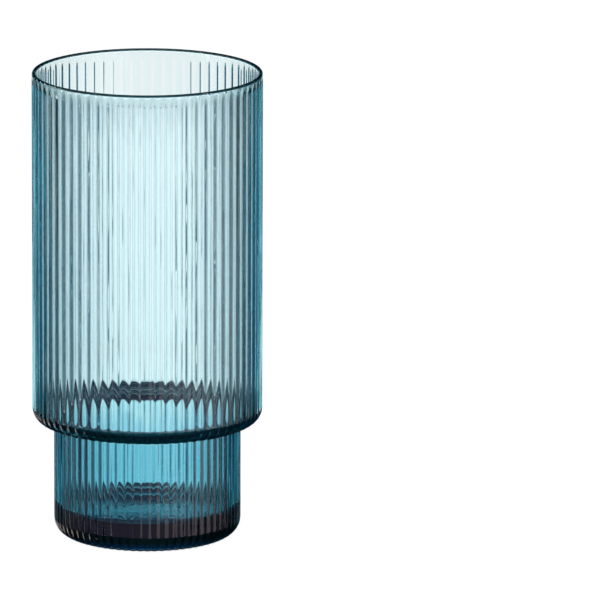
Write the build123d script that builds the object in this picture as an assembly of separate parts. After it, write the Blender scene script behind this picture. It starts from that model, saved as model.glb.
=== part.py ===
from build123d import *
import math
import os

# A stepped, reeded glass vase: a wide straight bowl that stands on a narrower straight foot.
# Millimetres, +Z up, with the origin on the vase's axis where it meets the table.
# The vase is a single casting, so its nodes are the stretches of that casting, cut on level
# joint planes. Neighbours meet face to face on those planes, and nothing moves.

# Overall sizes
overall_height = 155.9
bowl_diameter = 76.0  # over the crests of the ribs
foot_diameter = 61.7  # over the crests of the ribs
foot_height = 38.2  # from the table to the flat underside of the bowl

# Ribs: broad convex ridges joined by narrow concave valleys, the same number on bowl and foot
rib_count = 68
ridge_share = 0.65  # share of a rib's pitch taken by the ridge
bowl_rib_depth = 0.42
foot_rib_depth = 0.33
rib_fade_height = 3.4  # below the lip, where the ribs melt into the plain edge

# Rounded outer corners, which the ribs follow
bowl_corner_radius = 4.8
foot_corner_radius = 5.8

# Glass thickness, measured in from the crests
lip_wall = 1.5
bowl_wall = 1.9  # at the foot of the bowl
foot_wall = 4.8  # at the top of the foot
base_wall = 5.0  # at the inner floor
step_thickness = 3.8  # over the flat underside of the bowl, at the wall
ledge_fall = 1.2  # of the inner ledge, from the bowl's wall to the foot
base_thickness = 9.6  # under the inner floor

# Rounded inner corners
ledge_corner_radius = 1.0  # where the bowl's wall meets the inner ledge
throat_radius = 1.0  # where the inner ledge turns down into the foot
ledge_share = 0.98  # most of the ledge's width that its two roundings may take
floor_corner_radius = 1.2  # where the foot's wall meets the inner floor

# The hollow under the base that leaves a ring to stand on
punt_radius = 22.0
punt_depth = 0.7

# Joint planes between the nodes
rim_height = 5.0  # from the lip down to the bowl
ledge_land = 0.7  # straight wall kept above the ledge's corner
floor_land = 0.7  # straight wall kept above the floor's corner

crest_radius = bowl_diameter / 2
foot_crest_radius = foot_diameter / 2
mouth_inner = crest_radius - lip_wall
bowl_inner = crest_radius - bowl_wall
foot_inner = foot_crest_radius - foot_wall
floor_inner = foot_crest_radius - base_wall

# A narrow step leaves less room for its roundings, which then shrink to fit it
step_corner_radius = min(bowl_corner_radius, crest_radius - foot_crest_radius)
ledge_room = (bowl_inner - foot_inner) * ledge_share
ledge_shrink = min(1, ledge_room / (ledge_corner_radius + throat_radius))

lip_radius = lip_wall / 2
lip_spring_height = overall_height - lip_radius
ledge_height = foot_height + step_thickness
rim_joint = overall_height - rim_height
bowl_joint = max(
    ledge_height + ledge_corner_radius * ledge_shrink + ledge_land,
    foot_height + step_corner_radius + ledge_land,
)
base_joint = max(
    base_thickness + floor_corner_radius + floor_land,
    foot_corner_radius + floor_land,
)


def rib_point(radius, angle, height):
    """The point at a radius and an angle round the axis."""
    return Vector(radius * math.cos(angle), radius * math.sin(angle), height)


def ribbed_outline(height, radius, rib_depth):
    """A closed ring of ribs: each is one ridge arc and one valley arc, and a crest faces -Y."""
    pitch = 2 * math.pi / rib_count
    half_ridge = ridge_share * pitch / 2
    junction_radius = radius - ridge_share * rib_depth
    arcs = []
    for rib in range(rib_count):
        crest = rib * pitch - math.pi / 2
        ridge_start = rib_point(junction_radius, crest - half_ridge, height)
        ridge_top = rib_point(radius, crest, height)
        ridge_end = rib_point(junction_radius, crest + half_ridge, height)
        valley_floor = rib_point(radius - rib_depth, crest + pitch / 2, height)
        next_start = rib_point(junction_radius, crest + pitch - half_ridge, height)
        arcs.append(ThreePointArc(ridge_start, ridge_top, ridge_end).edge())
        arcs.append(ThreePointArc(ridge_end, valley_floor, next_start).edge())
    return Wire(arcs)


def ribbed_wall(low, high, radius, rib_depth):
    """A solid ribbed column with straight sides between two heights."""
    return extrude(Face(ribbed_outline(low, radius, rib_depth)), high - low, (0, 0, 1))


def ribbed_corner(low, radius, rib_depth, corner_radius):
    """A solid ribbed disc with a quarter-round lower edge, on which the ribs fade out."""
    outlines = []
    corner_steps = 5
    for step in range(corner_steps):
        turn = math.pi / 2 * (1 - step / (corner_steps - 1))
        height = low + corner_radius * (1 - math.sin(turn))
        inset = corner_radius * (1 - math.cos(turn))
        depth = rib_depth * math.cos(turn) ** 0.5 if step else 0
        outlines.append(ribbed_outline(height, radius - inset, depth))
    return Solid.make_loft(outlines)


def turned(corners, rounding):
    """A solid turned about Z from (radius, height) corners, with some corners rounded."""
    outline = make_face(Polyline(*corners, close=True))
    for corner, radius in rounding:
        vertex = outline.vertices().sort_by_distance(Vector(*corner, 0))[0]
        outline = fillet(vertex, radius)
    return revolve(Plane.XZ * outline, Axis.Z)


def cavity():
    """The inside of the vase: mouth, bowl, sloping ledge, foot and flat floor, open at the top."""
    ledge_outer_corner = (bowl_inner, ledge_height)
    ledge_inner_corner = (foot_inner, ledge_height - ledge_fall)
    floor_corner = (floor_inner, base_thickness)
    corners = [
        (0, base_thickness),
        floor_corner,
        ledge_inner_corner,
        ledge_outer_corner,
        (mouth_inner, lip_spring_height),
        (mouth_inner, overall_height),
        (0, overall_height),
    ]
    rounding = [
        (floor_corner, floor_corner_radius),
        (ledge_inner_corner, throat_radius * ledge_shrink),
        (ledge_outer_corner, ledge_corner_radius * ledge_shrink),
    ]
    return turned(corners, rounding)


def punt():
    """The shallow round hollow under the base: a cap of a large sphere."""
    sphere_radius = (punt_radius**2 + punt_depth**2) / (2 * punt_depth)
    return Pos(0, 0, punt_depth - sphere_radius) * Sphere(sphere_radius)


def make_rim():
    """The plain fire-polished lip, round on top, and the ends of the ribs just under it."""
    fade_start = lip_spring_height - rib_fade_height
    lower = ribbed_wall(rim_joint, fade_start, crest_radius, bowl_rib_depth)
    fade = Solid.make_loft(
        [
            ribbed_outline(fade_start, crest_radius, bowl_rib_depth),
            ribbed_outline(lip_spring_height, crest_radius, 0),
        ]
    )
    lip_centre = crest_radius - lip_radius
    bead = revolve(Plane.XZ * Pos(lip_centre, lip_spring_height) * Circle(lip_radius), Axis.Z)
    upper_half = Pos(0, 0, lip_spring_height) * Cylinder(
        bowl_diameter, lip_wall, align=(Align.CENTER, Align.CENTER, Align.MIN)
    )
    return (lower + fade - cavity()) + (bead & upper_half)


def make_bowl():
    """The long straight wall of the bowl, ribbed outside and smooth inside."""
    return ribbed_wall(bowl_joint, rim_joint, crest_radius, bowl_rib_depth) - cavity()


def make_shoulder():
    """The step: the bowl's rounded lower corner, flat underside and sloping inner ledge."""
    corner_top = foot_height + step_corner_radius
    corner = ribbed_corner(foot_height, crest_radius, bowl_rib_depth, step_corner_radius)
    wall = ribbed_wall(corner_top, bowl_joint, crest_radius, bowl_rib_depth)
    return corner + wall - cavity()


def make_foot():
    """The straight, thicker wall of the foot, ribbed outside and smooth inside."""
    return ribbed_wall(base_joint, foot_height, foot_crest_radius, foot_rib_depth) - cavity()


def make_base():
    """The heavy base: inner floor on top, rounded ribbed corner, and punt underneath."""
    corner = ribbed_corner(0, foot_crest_radius, foot_rib_depth, foot_corner_radius)
    wall = ribbed_wall(foot_corner_radius, base_joint, foot_crest_radius, foot_rib_depth)
    return corner + wall - cavity() - punt()


nodes = {
    "rim": make_rim,
    "bowl": make_bowl,
    "shoulder": make_shoulder,
    "foot": make_foot,
    "base": make_base,
}

os.makedirs("parts", exist_ok=True)
for name, make in nodes.items():
    solid = make()
    export_step(solid, f"parts/{name}.step")
    print(name, "volume", round(solid.volume), "mm3")
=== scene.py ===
# %% [markdown]
# # A stepped, reeded glass vase
#
# The vase is one piece of blue-green glass: a wide ribbed bowl on a narrower ribbed foot, with a
# thick base. Glass has no colour of its own on the surface. What is seen is light from the studio,
# bent by the ribs and tinted by the thickness it crosses. So the shape has to be exact, the wall
# needs its real thickness, and the lights matter as much as the material.

# %% Load the frame
import math

import bpy
import numpy as np
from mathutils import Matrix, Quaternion, Vector


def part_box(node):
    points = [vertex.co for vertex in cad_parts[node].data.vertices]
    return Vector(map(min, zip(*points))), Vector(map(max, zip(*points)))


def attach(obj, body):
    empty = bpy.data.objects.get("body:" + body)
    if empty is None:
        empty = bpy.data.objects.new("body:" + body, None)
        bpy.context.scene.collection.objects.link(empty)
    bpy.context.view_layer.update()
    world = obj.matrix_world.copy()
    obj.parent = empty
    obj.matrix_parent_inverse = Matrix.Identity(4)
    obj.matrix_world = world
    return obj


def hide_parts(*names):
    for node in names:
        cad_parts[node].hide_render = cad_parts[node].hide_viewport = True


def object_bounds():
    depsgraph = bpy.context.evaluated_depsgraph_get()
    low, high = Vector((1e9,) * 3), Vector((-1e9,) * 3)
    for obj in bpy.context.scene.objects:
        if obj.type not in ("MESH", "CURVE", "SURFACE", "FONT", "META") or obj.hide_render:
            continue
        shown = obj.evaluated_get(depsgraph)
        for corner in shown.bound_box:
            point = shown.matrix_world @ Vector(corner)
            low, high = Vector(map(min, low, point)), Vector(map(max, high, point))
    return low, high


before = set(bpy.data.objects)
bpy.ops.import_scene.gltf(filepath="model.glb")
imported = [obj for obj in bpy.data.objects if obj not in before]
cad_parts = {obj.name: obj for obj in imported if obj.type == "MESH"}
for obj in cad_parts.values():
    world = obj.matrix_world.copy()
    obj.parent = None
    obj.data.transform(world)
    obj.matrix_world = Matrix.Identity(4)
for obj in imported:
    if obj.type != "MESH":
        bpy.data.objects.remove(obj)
cad_low, cad_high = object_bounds()
print("nodes:", sorted(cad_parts), "box:", tuple(cad_low), tuple(cad_high))

# %% [markdown]
# ## The camera
#
# The camera comes first, because every later choice is judged through it. It stands far off with a
# long lens, which keeps the sides of the vase nearly parallel, and looks down at about 13 degrees,
# so that the mouth opens to a narrow ellipse. It aims to the right of the vase, which puts the vase
# in the left of the picture without any lens shift.

# %% Camera
CAMERA_DISTANCE = 3.600
CAMERA_HEIGHT = 0.9216
LENS = 673.2
AIM = Vector((0.0503, 0.0, 0.07895))
ROLL = 0.00308

camera_data = bpy.data.cameras.new("camera")
camera_data.lens = LENS
camera_data.clip_start = 0.05
camera_data.clip_end = 20.0
camera = bpy.data.objects.new("camera", camera_data)
camera.location = (0.0, -CAMERA_DISTANCE, CAMERA_HEIGHT)
level = (AIM - camera.location).to_track_quat("-Z", "Y")
camera.rotation_euler = (level @ Quaternion((0, 0, 1), ROLL)).to_euler()
bpy.context.scene.collection.objects.link(camera)
bpy.context.scene.camera = camera
tilt = math.degrees(math.atan2(CAMERA_HEIGHT - AIM.z, CAMERA_DISTANCE))
print("camera looks down", round(tilt, 1), "degrees")

# %% [markdown]
# ## Driving sizes of the glass
#
# The sizes are in metres. The widths and heights of the bowl and the foot are read from the frame,
# so the skin can't drift away from the solid model. The ribs, the walls and the roundings are
# written once here, because a box in the frame can't give them.

# %% Sizes
TOP = cad_high.z
BOWL_RADIUS = cad_high.x
FOOT_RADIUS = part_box("foot")[1].x
FOOT_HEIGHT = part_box("foot")[1].z

RIBS = 68
RIDGE_SHARE = 0.65
BOWL_RIB_DEPTH = 0.00042
FOOT_RIB_DEPTH = 0.00033
RIB_FADE = 0.0034

BOWL_CORNER = 0.0048
FOOT_CORNER = 0.0058
STEP_FILLET = 0.0007
LIP_WALL = 0.0015
BOWL_WALL = 0.0019
FOOT_WALL = 0.0048
BASE_WALL = 0.0050
STEP_THICKNESS = 0.0038
LEDGE_FALL = 0.0012
BASE_THICKNESS = 0.0096
LEDGE_CORNER = 0.0010
THROAT = 0.0010
FLOOR_CORNER = 0.0012

PUNT_RADIUS = 0.0220
PUNT_DEPTH = 0.0007
PUNT_SPHERE = (PUNT_RADIUS**2 + PUNT_DEPTH**2) / (2 * PUNT_DEPTH)
LIP_RADIUS = LIP_WALL / 2
LIP_SPRING = TOP - LIP_RADIUS
print("height", round(TOP, 4), "bowl", round(2 * BOWL_RADIUS, 4), "foot", round(2 * FOOT_RADIUS, 4))

# %% [markdown]
# ## One profile, with rounded corners
#
# The vase's section is a short list of corners, each with the radius of its rounding. Helpers walk
# round that list, and put a true arc in each corner. The same list could be a Bezier curve, but
# arcs are what a mould maker cuts, and their tangents give exact surface directions.

# %% Straight stretches and arcs
HOLD = 0.00025
LONGEST_STRETCH = 0.05
ARC_TURN = 0.19
FEWEST_ARC_STEPS = 3


def straight(start, end):
    """Points from start towards end, with end left out. A short stretch is its start alone. A long
    one also has a point HOLD inside each end, which stops the smooth shading of the rounding beside
    it from creeping along the wall, and even steps of at most LONGEST_STRETCH between those two."""
    length = np.linalg.norm(end - start)
    if length < 4 * HOLD:
        return start[None, :]
    count = max(2, math.ceil((length - 2 * HOLD) / LONGEST_STRETCH))
    inner = np.linspace(HOLD, length - HOLD, count + 1)
    reach = np.concatenate([[0.0], inner])
    return start + (end - start) * reach[:, None] / length


def arc(start, centre, turn):
    """Points from start round centre through a turn in radians, with the end left out: the spoke
    (x, y) from the centre becomes (x*cos - y*sin, x*sin + y*cos) of each angle."""
    steps = max(FEWEST_ARC_STEPS, math.ceil(abs(turn) / ARC_TURN))
    angles = turn * np.arange(steps) / steps
    x, y = start - centre
    turned_x = x * np.cos(angles) - y * np.sin(angles)
    turned_y = x * np.sin(angles) + y * np.cos(angles)
    return centre + np.stack([turned_x, turned_y], axis=1)


# %% Rounded profile
def rounded_profile(corners):
    """Points along (radius, height, rounding) corners. Each rounding is an arc tangent to both sides:
    it starts r*tan(turn/2) before the corner, and its centre is r to the side of the path. A corner
    with no rounding is a plain point, and the way to it has points of its own only after an arc."""
    path = np.array([corner[:2] for corner in corners], float)
    pieces = []
    reached = path[0]
    for index in range(1, len(path) - 1):
        before, corner, after = path[index - 1 : index + 2]
        rounding = corners[index][2]
        if rounding == 0:
            after_arc = corners[index - 1][2] > 0
            pieces.append(straight(reached, corner) if after_arc else reached[None, :])
            reached = corner
            continue
        way_in = (corner - before) / np.linalg.norm(corner - before)
        way_out = (after - corner) / np.linalg.norm(after - corner)
        turn = math.atan2(np.cross(way_in, way_out), np.dot(way_in, way_out))
        tangent_length = rounding * math.tan(abs(turn) / 2)
        arc_start = corner - way_in * tangent_length
        to_the_side = math.copysign(1, turn) * np.array([-way_in[1], way_in[0]])
        pieces.append(straight(reached, arc_start))
        pieces.append(arc(arc_start, arc_start + rounding * to_the_side, turn))
        reached = corner + way_out * tangent_length
    pieces.append(straight(reached, path[-1]))
    pieces.append(path[-1:])
    return np.concatenate(pieces)


# %% The vase's profile
PUNT_POINTS = 9
FADE_LEFT = (1.0, 0.75, 0.5, 0.25)

punt_reach = np.linspace(0, PUNT_RADIUS, PUNT_POINTS)
punt_rise = PUNT_DEPTH - PUNT_SPHERE + np.sqrt(PUNT_SPHERE**2 - punt_reach**2)
punt = [(reach, rise, 0) for reach, rise in zip(punt_reach, punt_rise)]
rib_ends = [(BOWL_RADIUS, LIP_SPRING - RIB_FADE * left, 0) for left in FADE_LEFT]
vase_corners = [
    *punt,
    (FOOT_RADIUS, 0.0, FOOT_CORNER),
    (FOOT_RADIUS, FOOT_HEIGHT, STEP_FILLET),
    (BOWL_RADIUS, FOOT_HEIGHT, BOWL_CORNER),
    *rib_ends,
    (BOWL_RADIUS, TOP, LIP_RADIUS),
    (BOWL_RADIUS - LIP_WALL, TOP, LIP_RADIUS),
    (BOWL_RADIUS - BOWL_WALL, FOOT_HEIGHT + STEP_THICKNESS, LEDGE_CORNER),
    (FOOT_RADIUS - FOOT_WALL, FOOT_HEIGHT + STEP_THICKNESS - LEDGE_FALL, THROAT),
    (FOOT_RADIUS - BASE_WALL, BASE_THICKNESS, FLOOR_CORNER),
    (0.0, BASE_THICKNESS, 0),
]
profile = rounded_profile(vase_corners)
print("profile rows:", len(profile))

# %% [markdown]
# ## The ribs
#
# Each rib is a broad round ridge, and each gap between two ridges is a narrow round valley. Both
# are circular arcs that meet at one slope. The ribs could be a displacement texture, but light
# that goes through glass shows every error in such a bump, so they are real geometry: the same
# ring of points is carried along the profile and pushed in along the surface's direction.

# %% Rib section
RIDGE_STEPS = 8
VALLEY_STEPS = 4
SLACK = 1e-6


def rib_fractions():
    """Places across one pitch, in pitches from the crest, with the same number on every ridge."""
    half = RIDGE_SHARE / 2
    ridge = np.linspace(-half, half, RIDGE_STEPS, endpoint=False)
    valley = np.linspace(half, 1 - half, VALLEY_STEPS, endpoint=False)
    return np.concatenate([ridge, valley])


def rib_shape(fraction, pitch, depth):
    """0 on the crest and 1 on the valley's floor. Two arcs meet where both slope by
    2*atan(2*depth/pitch), and an arc's drop at x is r - sqrt(r*r - x*x)."""
    slope = 2 * math.atan(2 * depth / pitch)
    from_crest = np.abs((fraction + 0.5) % 1.0 - 0.5) * pitch
    from_valley = pitch / 2 - from_crest
    ridge_arc = RIDGE_SHARE * pitch / 2 / math.sin(slope)
    valley_arc = (1 - RIDGE_SHARE) * pitch / 2 / math.sin(slope)
    on_ridge = from_crest <= RIDGE_SHARE * pitch / 2 + SLACK
    ridge_drop = ridge_arc - np.sqrt(np.maximum(ridge_arc**2 - from_crest**2, 0))
    valley_rise = valley_arc - np.sqrt(np.maximum(valley_arc**2 - from_valley**2, 0))
    return np.where(on_ridge, ridge_drop, depth - valley_rise) / depth


fractions = rib_fractions()
rib_numbers = np.arange(RIBS)[:, None]
around = ((rib_numbers + fractions[None, :]) / RIBS * 2 * math.pi).ravel() - math.pi / 2
pitch = 2 * math.pi * BOWL_RADIUS / RIBS
ring_shape = np.tile(rib_shape(fractions, pitch, BOWL_RIB_DEPTH), RIBS)
print("points round one ring:", around.size, "pitch", round(pitch * 1000, 2), "mm")

# %% [markdown]
# ## From profile to skin
#
# Every row of the skin has a radius, a height, a direction that points out of the glass, and a rib
# depth. The ribs are as deep as the wall is upright, so they run round the corners and die out
# under the bowl and under the foot. They also melt away just below the lip.


# %% Rows of the skin
def smoothstep(low, high, value):
    """0 below low, 1 above high, and 3s*s - 2s*s*s between them."""
    s = np.clip((value - low) / (high - low), 0, 1)
    return s * s * (3 - 2 * s)


def outward(points):
    """The direction out of the glass at each profile point: its tangent, turned right."""
    tangent = np.gradient(points, axis=0)
    tangent /= np.linalg.norm(tangent, axis=1, keepdims=True)
    return np.stack([tangent[:, 1], -tangent[:, 0]], axis=1)


def rib_depths(points, direction):
    """Rib depth of each row: the foot's or the bowl's, times the root of the upright share, and
    less and less under the lip. The rows after the top one are inside, where it is smooth."""
    height = points[:, 1]
    outside = np.arange(len(points)) < np.argmax(height)
    upright = np.sqrt(np.clip(direction[:, 0], 0, 1))
    depth = np.where(height < FOOT_HEIGHT - SLACK, FOOT_RIB_DEPTH, BOWL_RIB_DEPTH)
    under_lip = 1 - smoothstep(LIP_SPRING - RIB_FADE, LIP_SPRING, height)
    return np.where(outside, depth * upright * under_lip, 0.0)


direction = outward(profile)
depths = rib_depths(profile, direction)
print("deepest rib:", round(depths.max() * 1000, 2), "mm")


# %% Points and faces of the skin
def skin_points(points, normals, depth):
    """Rows times ring, with a single point at each pole. Each is the row's point less its
    direction times its depth times the ring's shape, turned about the axis."""
    push = depth[1:-1, None] * ring_shape[None, :]
    radius = points[1:-1, 0, None] - normals[1:-1, 0, None] * push
    height = points[1:-1, 1, None] - normals[1:-1, 1, None] * push
    grid = np.stack([radius * np.cos(around), radius * np.sin(around), height], axis=2)
    first_pole = [[0, 0, points[0, 1]]]
    last_pole = [[0, 0, points[-1, 1]]]
    return np.concatenate([first_pole, grid.reshape(-1, 3), last_pole])


def skin_faces(rows, columns):
    """A fan at the first pole, a square between each two rows and columns, and a fan at the last."""
    row, column = np.meshgrid(np.arange(rows - 1), np.arange(columns), indexing="ij")
    below = 1 + row * columns
    above = below + columns
    beside = (column + 1) % columns
    quads = np.stack([below + column, below + beside, above + beside, above + column], axis=2)
    ring = np.arange(columns)
    ring_next = (ring + 1) % columns
    last = 1 + (rows - 1) * columns
    first_fan = np.stack([np.zeros_like(ring), 1 + ring_next, 1 + ring], axis=1)
    last_fan = np.stack([last + ring, last + ring_next, np.full_like(ring, last + columns)], axis=1)
    return first_fan.tolist() + quads.reshape(-1, 4).tolist() + last_fan.tolist()


# %% The skin
def make_skin(name, vertices, faces):
    """A smooth-shaded piece from points and faces."""
    mesh = bpy.data.meshes.new(name)
    mesh.from_pydata(vertices.tolist(), [], faces)
    mesh.polygons.foreach_set("use_smooth", np.ones(len(mesh.polygons), bool))
    mesh.update()
    piece = bpy.data.objects.new(name, mesh)
    bpy.context.scene.collection.objects.link(piece)
    return piece


ribbed_rows = len(profile) - 2
vase = make_skin(
    "vase_glass",
    skin_points(profile, direction, depths),
    skin_faces(ribbed_rows, around.size),
)
print("vase_glass faces", len(vase.data.polygons), "rows", ribbed_rows, "columns", around.size)

# %% [markdown]
# ## The glass
#
# The colour is in the body of the glass, so the surface is clear and the tint is a volume that
# absorbs red most, green less and blue least. A tint on the surface would be as strong on the lip
# as on the base. With a volume, thin walls come out pale and the thick base nearly black.
#
# Pressed glass isn't quite flat. It cooled as it flowed against the mould, and long upright waves
# stay in its skin. They break the edges of the ribs into uneven dark lines. To push such low waves
# into the mesh would take many more faces, so they are a bump: smooth noise on Object coordinates,
# squeezed across the vase and stretched along its height.

# %% Glass material
GLASS_IOR = 1.52
ABSORBED_PER_METRE = (175.0, 55.0, 38.0)
ABSORPTION_DENSITY = 200.0
FLOW_CELLS = (260.0, 260.0, 22.0)
FLOW_DETAIL = 2.0
FLOW_HEIGHT = 0.00012


def tinted_glass():
    """Clear smooth glass round a volume that absorbs density * (1 - colour) per metre."""
    material = bpy.data.materials.new("bottle_teal")
    material.use_nodes = True
    nodes = material.node_tree.nodes
    links = material.node_tree.links
    nodes.clear()
    output = nodes.new("ShaderNodeOutputMaterial")
    surface = nodes.new("ShaderNodeBsdfPrincipled")
    surface.inputs["Base Color"].default_value = (1, 1, 1, 1)
    surface.inputs["Roughness"].default_value = 0.0
    surface.inputs["IOR"].default_value = GLASS_IOR
    surface.inputs["Transmission Weight"].default_value = 1.0
    volume = nodes.new("ShaderNodeVolumeAbsorption")
    colour = [1 - absorbed / ABSORPTION_DENSITY for absorbed in ABSORBED_PER_METRE]
    volume.inputs["Color"].default_value = (*colour, 1)
    volume.inputs["Density"].default_value = ABSORPTION_DENSITY
    links.new(flow_waves(nodes, links), surface.inputs["Normal"])
    links.new(surface.outputs["BSDF"], output.inputs["Surface"])
    links.new(volume.outputs["Volume"], output.inputs["Volume"])
    return material


def flow_waves(nodes, links):
    """The surface direction tilted by waves: noise of the place times cells per metre, as a bump."""
    place = nodes.new("ShaderNodeTexCoord")
    stretch = nodes.new("ShaderNodeMapping")
    stretch.inputs["Scale"].default_value = FLOW_CELLS
    flow = nodes.new("ShaderNodeTexNoise")
    flow.inputs["Scale"].default_value = 1.0
    flow.inputs["Detail"].default_value = FLOW_DETAIL
    waves = nodes.new("ShaderNodeBump")
    waves.inputs["Strength"].default_value = 1.0
    waves.inputs["Distance"].default_value = FLOW_HEIGHT
    links.new(place.outputs["Object"], stretch.inputs["Vector"])
    links.new(stretch.outputs["Vector"], flow.inputs["Vector"])
    links.new(flow.outputs["Fac"], waves.inputs["Height"])
    return waves.outputs["Normal"]


vase.data.materials.append(tinted_glass())
print("absorbed per metre, red green blue:", ABSORBED_PER_METRE)

# %% [markdown]
# ## Into the frame
#
# The real vase is one piece of glass, so one skin stands in for all five stretches of the solid
# model. Five skins would show their joints, because light bends at every surface it meets.

# %% Into the frame
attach(vase, "root")
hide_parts("rim", "bowl", "shoulder", "foot", "base")

# %% [markdown]
# ## The floor
#
# The vase stands on a plain white sheet that glows a little, so that it has no edge and hardly any
# shadow. The glass neither reflects it nor shows it through its walls: what is seen in the glass
# comes from the light panels alone, where it can be placed.

# %% Floor
FLOOR_RADIUS = 8.0
FLOOR_SIDES = 128
FLOOR_GAP = 0.00002
FLOOR_COLOUR = (0.9, 0.9, 0.9, 1)
FLOOR_ROUGHNESS = 0.9
FLOOR_GLOW = 0.97

angles = np.linspace(0, 2 * math.pi, FLOOR_SIDES, endpoint=False)
floor_points = FLOOR_RADIUS * np.stack([np.cos(angles), np.sin(angles), 0 * angles], axis=1)
floor_mesh = bpy.data.meshes.new("floor")
floor_mesh.from_pydata(floor_points.tolist(), [], [list(range(FLOOR_SIDES))])
floor = bpy.data.objects.new("floor", floor_mesh)
floor.location.z = -FLOOR_GAP
floor.visible_transmission = False
floor.visible_glossy = False
bpy.context.scene.collection.objects.link(floor)
floor_material = bpy.data.materials.new("floor_white")
floor_material.use_nodes = True
floor_surface = floor_material.node_tree.nodes["Principled BSDF"]
floor_surface.inputs["Base Color"].default_value = FLOOR_COLOUR
floor_surface.inputs["Roughness"].default_value = FLOOR_ROUGHNESS
floor_surface.inputs["Emission Color"].default_value = (1, 1, 1, 1)
floor_surface.inputs["Emission Strength"].default_value = FLOOR_GLOW
floor_mesh.materials.append(floor_material)
print("floor sides:", FLOOR_SIDES)

# %% [markdown]
# ## The light panels
#
# Clear glass is lit from behind: a bright panel stands past it, and the dark round the panel draws
# the edges of the ribs. Glass shows what stands round it as much as its own tint, so the panels are
# tinted too. White fills the walls, blue the low parts, lilac draws a thin line down each side,
# violet is reflected in the base, and teal lifts what would be black. Real lamps and sheets could
# stand there, but only the direction of each matters at this size, so the panels are drawn in the
# world. The white ones at the sides are there for whoever walks round the vase.

# %% Panels by colour
# A panel's numbers are the way it faces from the vase (0 is +Y, turning towards +X) and its
# half-width, then the elevations where it starts, is full, begins to fade and ends, all in degrees,
# and its strength.
WHITE = (1.18, 0.97, 0.90)
WHITE_PANELS = (
    (0, 17, -14.20, -14.10, -12.65, -12.30, 1.16),
    (0, 17, -12.65, -12.30, -0.5, 1.5, 0.88),
    (135, 22, -22.0, -20.0, -9.5, -7.5, 0.75),
    (-90, 22, -12.5, -11.0, 4.0, 7.0, 1.05),
    (-45, 20, -33.0, -31.0, -20.0, -17.5, 1.1),
)
BLUE = (0.83, 0.90, 0.93)
BLUE_PANELS = (
    (0, 17, -18.0, -14.8, -14.20, -14.10, 1.0),
    (50, 14, -20.0, -18.0, -11.0, -9.0, 0.14),
    (-50, 14, -20.0, -18.0, -11.0, -9.0, 0.22),
    (0, 20, -37.0, -35.0, -30.0, -28.0, 0.12),
    (0, 20, -70.0, -66.0, -60.0, -56.0, 0.6),
)
TEAL = (0.08, 0.55, 0.70)
TEAL_PANELS = (
    (0, 17, -0.5, 2.0, 9.0, 12.0, 0.35),
    (0, 34, -20.0, -18.0, -0.5, 1.5, 0.25),
)
LILAC = (1.0, 0.90, 1.08)
LILAC_PANELS = (
    (100, 3.5, -20.0, -18.0, -11.0, -9.0, 1.3),
    (-100, 4.0, -20.0, -18.0, -11.0, -9.0, 1.6),
)
VIOLET = (0.9, 0.5, 1.0)
VIOLET_PANELS = ((180, 75, -20.0, -18.0, -11.0, -9.0, 0.30),)
GLOWS = (
    (WHITE, WHITE_PANELS),
    (BLUE, BLUE_PANELS),
    (TEAL, TEAL_PANELS),
    (LILAC, LILAC_PANELS),
    (VIOLET, VIOLET_PANELS),
)
EDGE = 1.2
print("panels:", sum(len(panels) for _, panels in GLOWS))

# %% [markdown]
# ## The surround
#
# Between the panels is a deep teal room, because pure black would make the ribs look inked. It is
# dimmest ahead, where the dark lines come from, full behind the camera, and faint overhead.

# %% Surround
SURROUND = (0.04, 0.16, 0.20)
AHEAD_STRENGTH = 0.12
BESIDE_COSINE = 0.0
BEHIND_COSINE = -0.9
SURROUND_TOP = 8.0
SURROUND_FADE = 6.0
OVERHEAD_SHARE = 0.15


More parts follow.
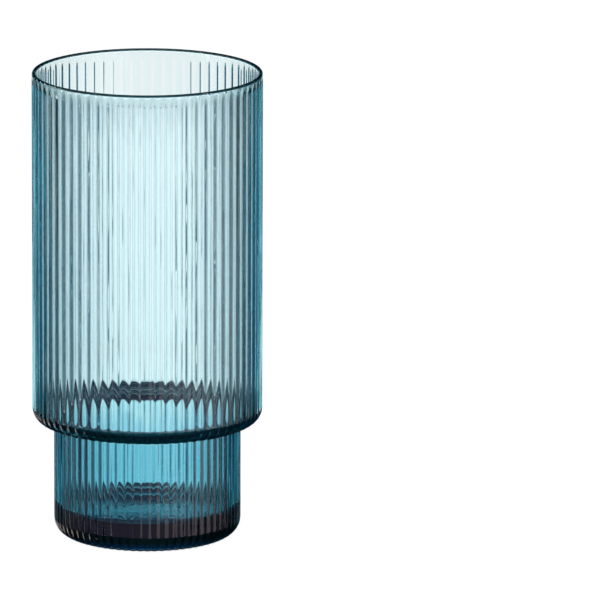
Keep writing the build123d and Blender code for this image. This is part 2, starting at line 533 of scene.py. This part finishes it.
def studio_world():
    """Light by direction. A panel is a step in cos(azimuth - facing) times two steps in elevation."""
    world = bpy.data.worlds.new("studio")
    world.use_nodes = True
    nodes = world.node_tree.nodes
    links = world.node_tree.links
    nodes.remove(nodes["Background"])

    def maths(operation, *terms):
        """One sum on numbers or on other nodes' results."""
        node = nodes.new("ShaderNodeMath")
        node.operation = operation
        for socket, term in zip(node.inputs, terms):
            if isinstance(term, (int, float)):
                socket.default_value = term
            else:
                links.new(term, socket)
        return node.outputs[0]

    def step(value, low, high, start=0.0, end=1.0):
        """From start to end as value goes from low to high, along 3s*s - 2s*s*s."""
        node = nodes.new("ShaderNodeMapRange")
        node.interpolation_type = "SMOOTHSTEP"
        links.new(value, node.inputs["Value"])
        limits = {"From Min": low, "From Max": high, "To Min": start, "To Max": end}
        for socket, number in limits.items():
            node.inputs[socket].default_value = number
        return node.outputs["Result"]

    def light(colour, strength):
        """Light of one colour, as strong as another node says."""
        shader = nodes.new("ShaderNodeBackground")
        shader.inputs["Color"].default_value = (*colour, 1)
        links.new(strength, shader.inputs["Strength"])
        return shader.outputs[0]

    def together(first, second):
        """Two lights added up."""
        adder = nodes.new("ShaderNodeAddShader")
        links.new(first, adder.inputs[0])
        links.new(second, adder.inputs[1])
        return adder.outputs[0]

    way = nodes.new("ShaderNodeTexCoord")
    split = nodes.new("ShaderNodeSeparateXYZ")
    links.new(way.outputs["Generated"], split.inputs[0])
    azimuth = maths("ARCTAN2", split.outputs["X"], split.outputs["Y"])
    elevation = maths("DEGREES", maths("ARCSINE", split.outputs["Z"]))

    def glow(panels):
        """The strengths of a list of panels, added up."""
        total = 0.0
        for facing, half, starts, full, fades, ends, strength in panels:
            turned = maths("COSINE", maths("SUBTRACT", azimuth, math.radians(facing)))
            edges = [math.cos(math.radians(half + side * EDGE)) for side in (1, -1)]
            rising = step(elevation, starts, full)
            falling = step(elevation, fades, ends, strength, 0.0)
            panel = maths("MULTIPLY", step(turned, *edges), maths("MULTIPLY", rising, falling))
            total = maths("ADD", panel, total)
        return total

    behind = step(maths("COSINE", azimuth), BESIDE_COSINE, BEHIND_COSINE, AHEAD_STRENGTH, 1.0)
    above = step(elevation, SURROUND_TOP - SURROUND_FADE, SURROUND_TOP, 1.0, OVERHEAD_SHARE)
    lights = [light(colour, glow(panels)) for colour, panels in GLOWS]
    lights.append(light(SURROUND, maths("MULTIPLY", behind, above)))
    lit = lights[0]
    for other in lights[1:]:
        lit = together(lit, other)
    links.new(lit, nodes["World Output"].inputs["Surface"])
    return world


bpy.context.scene.world = studio_world()
print("studio nodes:", len(bpy.context.scene.world.node_tree.nodes))

# %% [markdown]
# ## Two soft boxes
#
# A tall narrow lamp on each side of the camera gives the long thin glints that run down the ribs.
# Square lamps would give blots, and one lamp would leave a side of the vase flat.

# %% Soft boxes
LAMPS_AIM = Vector((0.0, 0.0, 0.08))


def soft_box(name, location, size, power):
    """A rectangular lamp that faces the vase."""
    lamp = bpy.data.lights.new(name, "AREA")
    lamp.shape = "RECTANGLE"
    lamp.size, lamp.size_y = size
    lamp.energy = power
    holder = bpy.data.objects.new(name, lamp)
    holder.location = location
    way = LAMPS_AIM - Vector(location)
    holder.rotation_euler = way.to_track_quat("-Z", "Y").to_euler()
    bpy.context.scene.collection.objects.link(holder)
    print(name, "is", round(way.length, 2), "m from the vase")


soft_box("box_left", (-1.5, -0.9, 0.9), (0.10, 1.6), 6.0)
soft_box("box_right", (1.6, -0.7, 0.9), (0.08, 1.6), 4.0)

# %% [markdown]
# ## How far light is followed
#
# A ray that crosses both walls of the vase meets four surfaces, and in the thick base it turns back
# inside the glass many times. If it is dropped too early, that part goes black. So light is
# followed for more steps than a scene without glass needs.

# %% Picture settings
GLASS_STEPS = 32
MIRROR_STEPS = 16

scene = bpy.context.scene
scene.view_settings.view_transform = "Standard"
scene.cycles.max_bounces = GLASS_STEPS
scene.cycles.transmission_bounces = GLASS_STEPS
scene.cycles.transparent_max_bounces = GLASS_STEPS
scene.cycles.glossy_bounces = MIRROR_STEPS
print("steps of light:", GLASS_STEPS, "through glass,", MIRROR_STEPS, "in mirrors")
